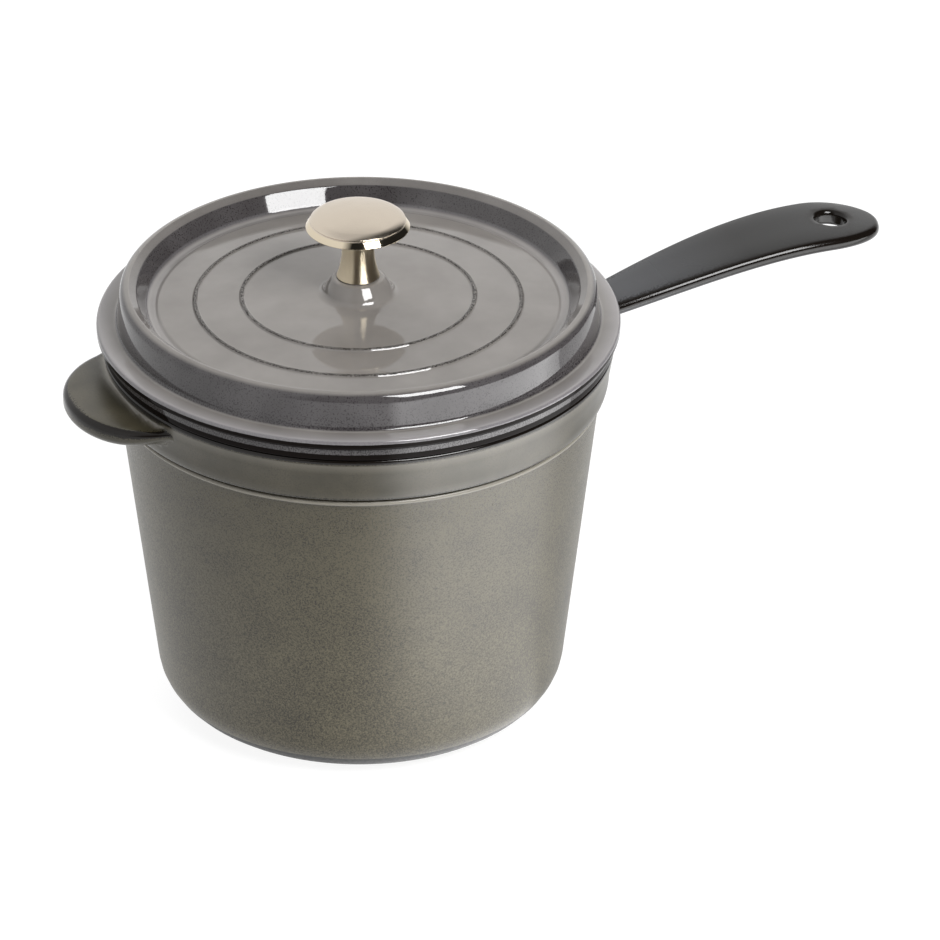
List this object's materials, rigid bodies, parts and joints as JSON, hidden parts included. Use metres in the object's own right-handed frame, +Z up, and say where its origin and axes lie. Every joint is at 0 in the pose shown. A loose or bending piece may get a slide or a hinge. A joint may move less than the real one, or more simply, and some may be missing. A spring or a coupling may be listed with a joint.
{
  "type": "saucepan",
  "caption": "Tall drafted enamelled cast-iron saucepan with a long cast handle, a half-moon helper lug, and a heavy lift-off lid with a raised rim and a turned metal knob.",
  "frame": {"origin": "centre of the flat base's underside, on the pot's axis", "axes": "+Z up along the pot's axis, +X along the handle, +Y to the left of someone looking along the handle"},
  "size_m": [0.3353, 0.2, 0.2054],
  "materials": {
    "pan_enamel": "speckled grey vitreous enamel on cast iron, black matte inside",
    "lid_enamel": "glossy grey vitreous enamel on cast iron",
    "knob_nickel": "satin nickel top, polished edge, turned stem",
    "fastener_steel": "plain stainless steel"
  },
  "bodies": {
    "pan": {"pan_body": "pan_enamel"},
    "lid": {"lid": "lid_enamel", "knob": "knob_nickel", "knob_screw": "fastener_steel", "knob_washer": "fastener_steel"}
  },
  "joints": [
    {"name": "lid_lift", "type": "slide", "parent": "pan", "child": "lid", "axis": [0, 0, 1], "range_m": [0, 0.15]}
  ]
}
